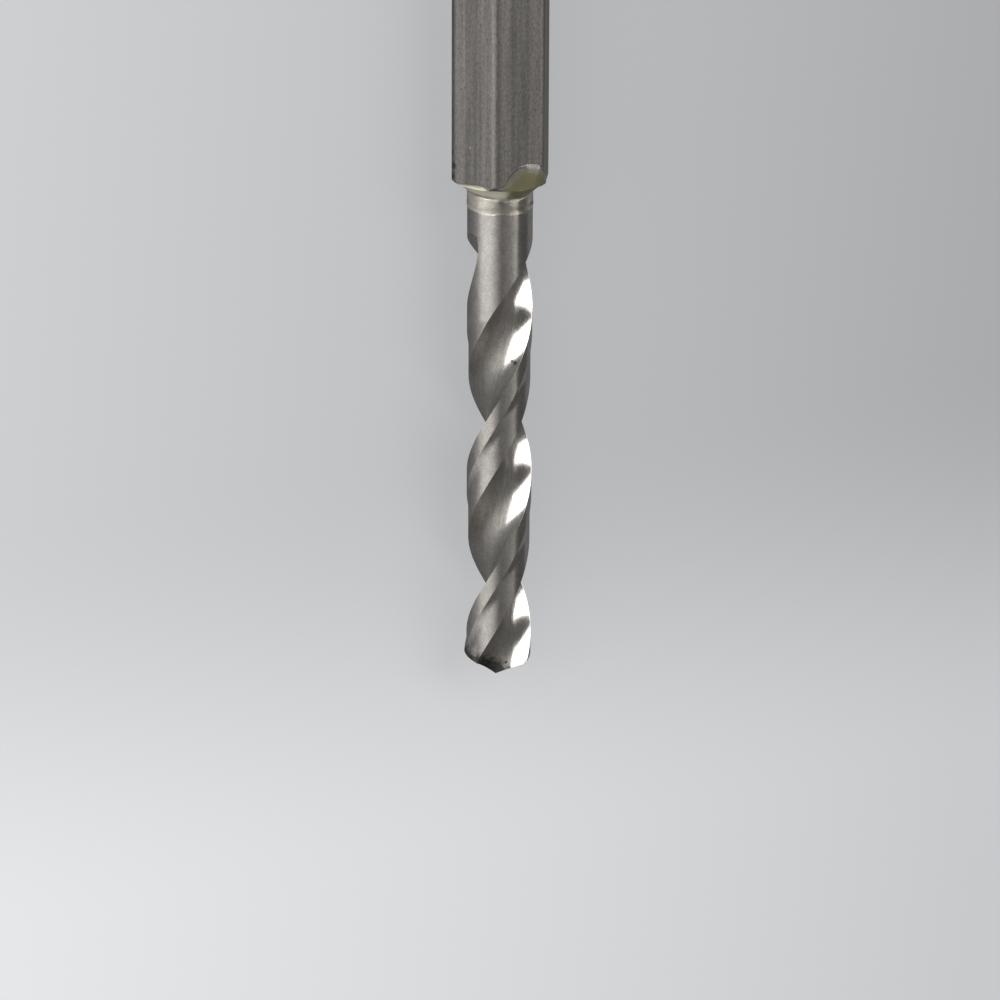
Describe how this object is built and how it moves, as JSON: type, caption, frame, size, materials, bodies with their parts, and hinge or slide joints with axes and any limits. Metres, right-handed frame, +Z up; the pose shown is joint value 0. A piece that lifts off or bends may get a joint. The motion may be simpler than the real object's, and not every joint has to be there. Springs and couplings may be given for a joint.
{
  "type": "drill bit",
  "caption": "Twist drill with a round neck, bonded with clear resin into a hexagonal quick-change shank with a ring groove.",
  "frame": {"origin": "bottom of the hexagon's lowest flat, under the middle of the bit's length", "axes": "the bit's axis lies along Y, 3.175 mm up, its point towards -Y and its drive end towards +Y; +Z is up as it lies on a flat"},
  "size_m": [0.0072, 0.0644, 0.0066],
  "materials": {
    "drawn_steel": "dark drawn steel with a light oily film",
    "ground_steel": "bright ground high-speed steel",
    "cured_resin": "clear yellowish resin, glossy"
  },
  "bodies": {
    "root": {"hex_shank": "drawn_steel", "twist_drill": "ground_steel", "bond_resin": "cured_resin"}
  },
  "joints": []
}
